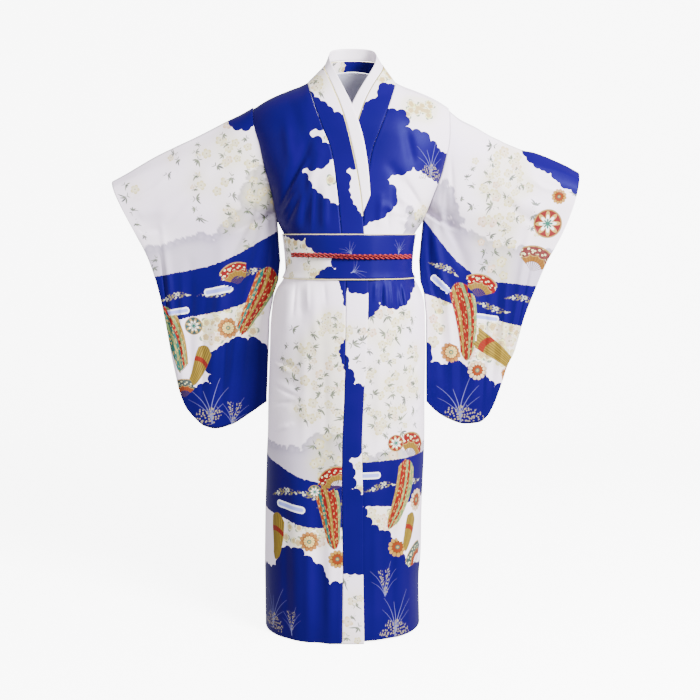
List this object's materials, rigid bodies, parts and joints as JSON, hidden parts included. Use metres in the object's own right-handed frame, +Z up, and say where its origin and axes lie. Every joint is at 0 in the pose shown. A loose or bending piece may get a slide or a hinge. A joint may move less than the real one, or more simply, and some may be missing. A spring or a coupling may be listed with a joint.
{
  "type": "yukata robe",
  "caption": "Full-length wrapped robe with hanging sleeves, a crossed neckband with a white edging strip, and a sewn-on belt with a cord.",
  "frame": {"origin": "on the line of the shoulders, at the middle of the neck, where the wearer carries the robe", "axes": "+Z up from hem to neck, -Y out of the front, +X towards the wearer's left (the viewer's right)"},
  "size_m": [1.1421, 0.3103, 1.4302],
  "materials": {
    "printed_satin": "satin",
    "white_satin": "satin",
    "gold_piping": "satin",
    "red_cord": "matte"
  },
  "bodies": {
    "root": {"front_right": "printed_satin", "front_left": "printed_satin", "back": "printed_satin", "sleeve_right": "printed_satin", "sleeve_left": "printed_satin", "neckband": "printed_satin", "edging": "white_satin", "obi": "printed_satin", "piping_top": "gold_piping", "piping_bottom": "gold_piping", "obi_cord": "red_cord"}
  },
  "joints": []
}
